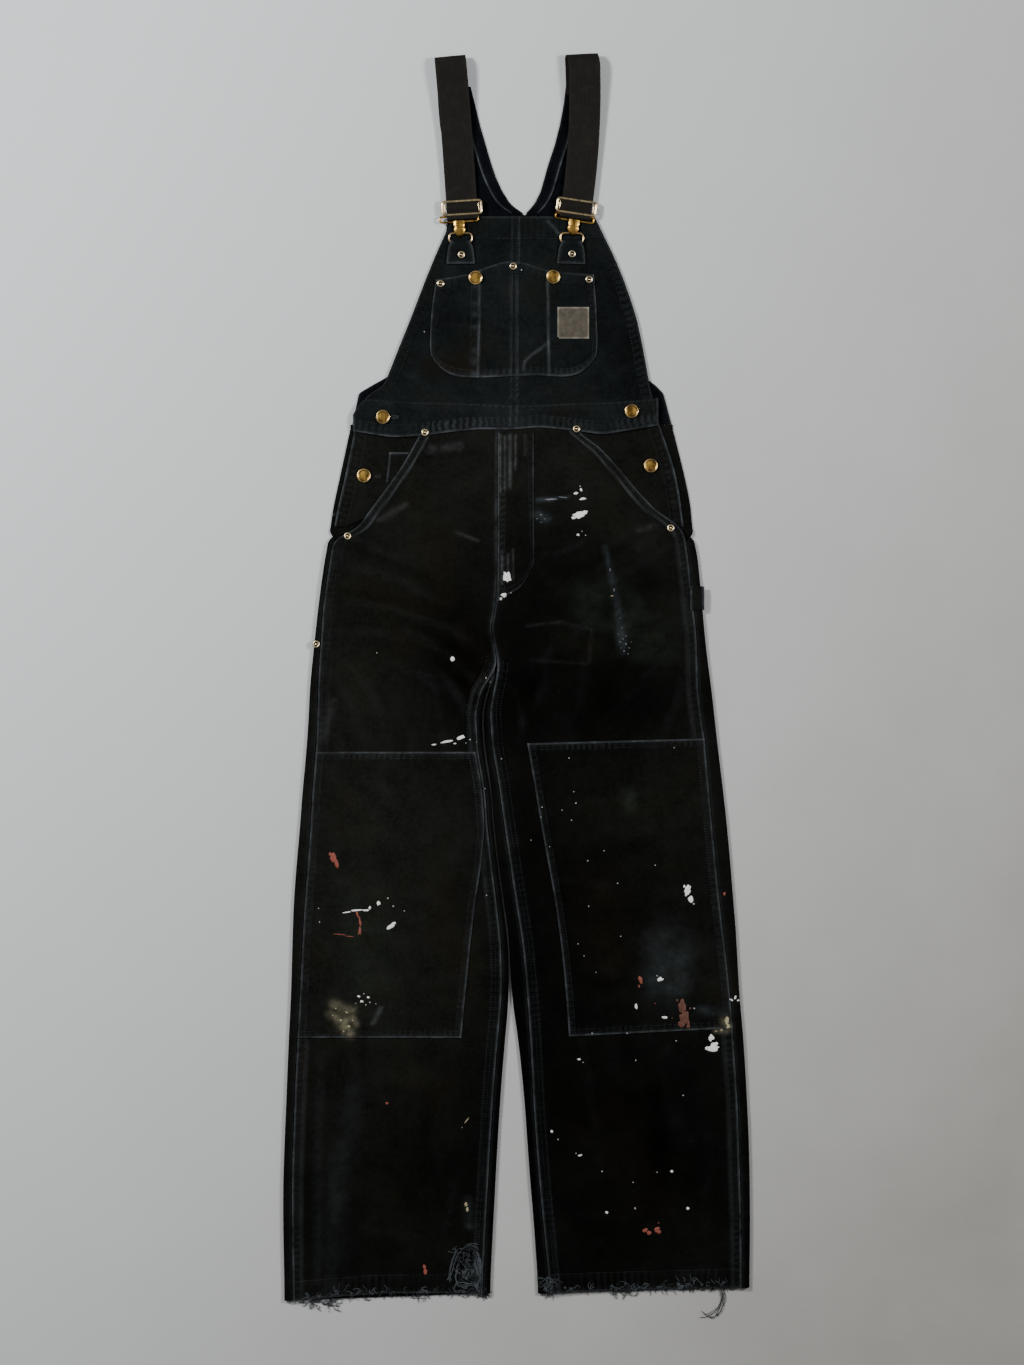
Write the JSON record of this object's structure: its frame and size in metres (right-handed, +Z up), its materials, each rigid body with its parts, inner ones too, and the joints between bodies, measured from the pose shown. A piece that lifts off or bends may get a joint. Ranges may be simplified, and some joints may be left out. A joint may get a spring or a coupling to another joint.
{
  "type": "paint spattered dungarees",
  "caption": "Worn black canvas bib dungarees with double knees and brass buckles, laid flat and spattered with paint.",
  "frame": {"origin": "on the surface that the garment lies on, under the middle of its box", "axes": "+X to the wearer's left, +Y from the hems to the straps, +Z up from the surface, out of the garment's front"},
  "size_m": [0.5598, 1.4946, 0.0167],
  "materials": {
    "leg_canvas": "dirty washed black duck canvas with paint spots",
    "bib_canvas": "faded blue-black duck canvas",
    "inner_canvas": "unworn inner face of the canvas",
    "elastic": "brown-black ribbed elastic webbing",
    "brass": "worn brass",
    "label": "bare woven patch"
  },
  "bodies": {
    "root": {"back_body": "inner_canvas", "back_leg_l": "leg_canvas", "back_leg_r": "leg_canvas", "bib_front": "bib_canvas", "bib_pocket": "bib_canvas", "bib_tab_l": "bib_canvas", "bib_tab_r": "bib_canvas", "button_bib_l": "brass", "button_bib_r": "brass", "button_hip_l": "brass", "button_hip_r": "brass", "button_waist_l": "brass", "button_waist_r": "brass", "coin_pocket": "leg_canvas", "elastic_strap_l": "elastic", "elastic_strap_r": "elastic", "fly": "leg_canvas", "front_leg_l": "leg_canvas", "front_leg_r": "leg_canvas", "hammer_loop": "leg_canvas", "hip_facing_l": "leg_canvas", "hip_facing_r": "leg_canvas", "hook_frame_l": "brass", "hook_frame_r": "brass", "knee_panel_l": "leg_canvas", "knee_panel_r": "leg_canvas", "label_patch": "label", "neck_facing_l": "inner_canvas", "neck_facing_r": "inner_canvas", "rivet_mouth_l": "brass", "rivet_mouth_r": "brass", "rivet_pocket_l": "brass", "rivet_pocket_mid": "brass", "rivet_pocket_r": "brass", "rivet_side_r": "brass", "rivet_tab_l": "brass", "rivet_tab_r": "brass", "rivet_waist_l": "brass", "rivet_waist_r": "brass", "slide_adjuster_l": "brass", "slide_adjuster_r": "brass", "tab_ring_l": "brass", "tab_ring_r": "brass", "waistband": "bib_canvas"}
  },
  "joints": []
}
